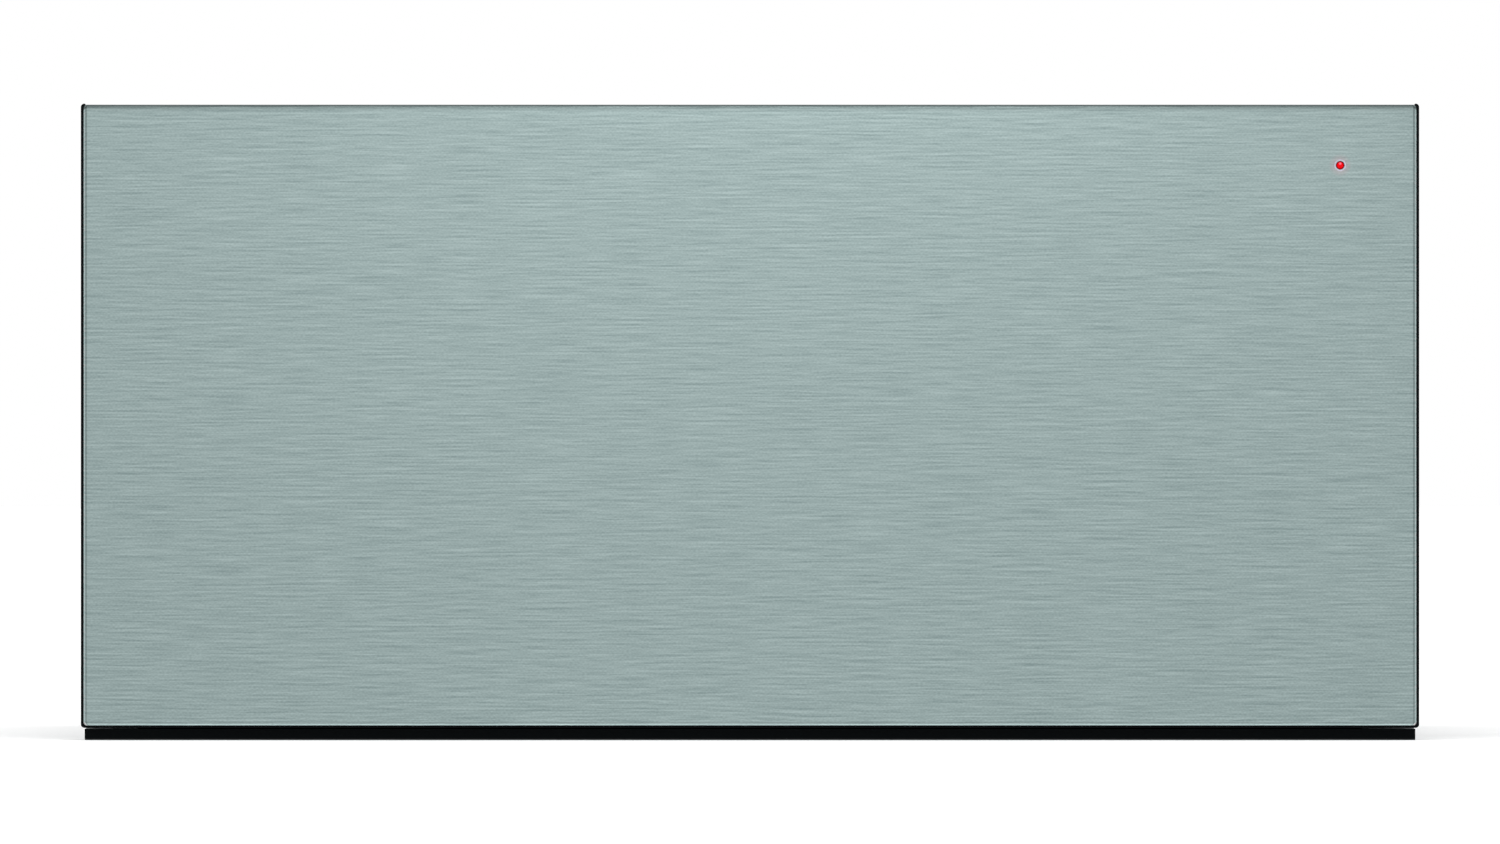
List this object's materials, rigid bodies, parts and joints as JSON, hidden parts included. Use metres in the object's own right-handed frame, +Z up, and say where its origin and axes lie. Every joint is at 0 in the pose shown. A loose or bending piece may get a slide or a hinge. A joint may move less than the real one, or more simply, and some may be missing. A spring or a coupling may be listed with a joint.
{
  "type": "built-in warming drawer",
  "caption": "Built-in warming drawer with a handle-less brushed steel front, push-to-open latch, ball runners, heated and fan-swept box and keys on the top edge of its front.",
  "frame": {"origin": "middle of the footprint, at the underside of the base plate", "axes": "+X to the right as seen from the front, +Y to the back, +Z up; the front faces -Y"},
  "size_m": [0.596, 0.574, 0.2835],
  "materials": {
    "brushed_steel": "brushed stainless sheet, grain along X",
    "stainless": "fine satin stainless sheet",
    "galvanised": "galvanised sheet, bare zinc",
    "rail_zinc": "bright zinc plated strip",
    "bearing_steel": "hardened balls in plated strips",
    "black_plastic": "fine grained black moulding",
    "key_plastic": "satin dark grey moulding",
    "grey_plastic": "matte grey moulding",
    "white_plastic": "matte white moulding",
    "lens_red": "clear red moulding",
    "light_pipe": "frosted clear moulding",
    "circuit_board": "green coated laminate",
    "rubber": "matte moulded rubber",
    "mat_rubber": "matte dotted grip rubber",
    "heater_sheath": "annealed metal sheath",
    "ceramic": "glazed ceramic",
    "fan_aluminium": "rolled aluminium",
    "shaft_steel": "ground steel",
    "motor_steel": "zinc plated can",
    "screw_steel": "plated steel",
    "spring_steel": "spring wire",
    "magnet_nickel": "nickel plated",
    "brass": "machined brass"
  },
  "bodies": {
    "cabinet": {"base_plate": "galvanised", "top_plate": "galvanised", "right_side_panel": "galvanised", "left_side_panel": "galvanised", "back_panel": "galvanised", "bottom_trim": "black_plastic", "front_bumpers": "rubber", "chassis_screws": "screw_steel", "right_outer_rail": "rail_zinc", "left_outer_rail": "rail_zinc", "latch_housing": "black_plastic", "latch_spring": "spring_steel", "chassis_gland": "black_plastic", "wire_trunking": "grey_plastic", "terminal_block": "white_plastic", "terminal_cover": "grey_plastic", "terminal_screws": "brass", "mains_entry": "black_plastic"},
    "mid_rails": {"mid_rails": "rail_zinc"},
    "outer_cages": {"outer_ball_cages": "bearing_steel"},
    "inner_cages": {"inner_ball_cages": "bearing_steel"},
    "latch_plunger": {"latch_plunger": "white_plastic", "latch_magnet": "magnet_nickel"},
    "drawer": {"front_skin": "brushed_steel", "front_carrier": "black_plastic", "front_inner_panel": "stainless", "front_stiffeners": "galvanised", "indicator_lens": "lens_red", "indicator_holder": "black_plastic", "indicator_board": "circuit_board", "control_housing": "black_plastic", "control_board": "circuit_board", "level_lights": "light_pipe", "right_inner_rail": "rail_zinc", "left_inner_rail": "rail_zinc", "right_outer_wall": "galvanised", "left_outer_wall": "galvanised", "right_liner": "stainless", "left_liner": "stainless", "liner_front": "stainless", "drawer_floor": "stainless", "grip_mat": "mat_rubber", "bottom_pan": "galvanised", "rear_grille": "stainless", "rear_duct": "galvanised", "drawer_screws": "screw_steel", "fan_motor": "motor_steel", "heating_element": "heater_sheath", "heater_bushes": "ceramic", "heater_brackets": "galvanised", "temperature_probe": "shaft_steel", "safety_cutout": "black_plastic", "striker_plate": "screw_steel", "drawer_gland": "black_plastic"},
    "temperature_key": {"temperature_key": "key_plastic"},
    "timer_key": {"timer_key": "key_plastic"},
    "power_key": {"power_key": "key_plastic"},
    "fan_rotor": {"fan_wheel": "fan_aluminium", "fan_shaft": "shaft_steel"}
  },
  "joints": [
    {"name": "latch_push", "type": "slide", "parent": "cabinet", "child": "latch_plunger", "axis": [0, -1, 0], "range_m": [-0.004, 0.012], "stiffness_N_per_m": 2000, "deforming": ["latch_spring"]},
    {"name": "drawer_slide", "type": "slide", "parent": "latch_plunger", "child": "drawer", "axis": [0, -1, 0], "range_m": [0, 0.42]},
    {"name": "mid_rail_slide", "type": "slide", "parent": "cabinet", "child": "mid_rails", "axis": [0, -1, 0], "range_m": [0, 0.21]},
    {"name": "outer_cage_slide", "type": "slide", "parent": "cabinet", "child": "outer_cages", "axis": [0, -1, 0], "range_m": [0, 0.105]},
    {"name": "inner_cage_slide", "type": "slide", "parent": "cabinet", "child": "inner_cages", "axis": [0, -1, 0], "range_m": [0, 0.315]},
    {"name": "temperature_press", "type": "slide", "parent": "drawer", "child": "temperature_key", "axis": [0, 0, -1], "range_m": [0, 0.001], "stiffness_N_per_m": 900},
    {"name": "timer_press", "type": "slide", "parent": "drawer", "child": "timer_key", "axis": [0, 0, -1], "range_m": [0, 0.001], "stiffness_N_per_m": 900},
    {"name": "power_press", "type": "slide", "parent": "drawer", "child": "power_key", "axis": [0, 0, -1], "range_m": [0, 0.001], "stiffness_N_per_m": 900},
    {"name": "fan_spin", "type": "hinge", "parent": "drawer", "child": "fan_rotor", "pos_m": [0, 0.18, 0.14], "axis": [0, 1, 0], "continuous": true}
  ],
  "couplings": [
    {"joint": "mid_rail_slide", "follows": "drawer_slide", "ratio": 0.5},
    {"joint": "outer_cage_slide", "follows": "drawer_slide", "ratio": 0.25},
    {"joint": "inner_cage_slide", "follows": "drawer_slide", "ratio": 0.75}
  ]
}
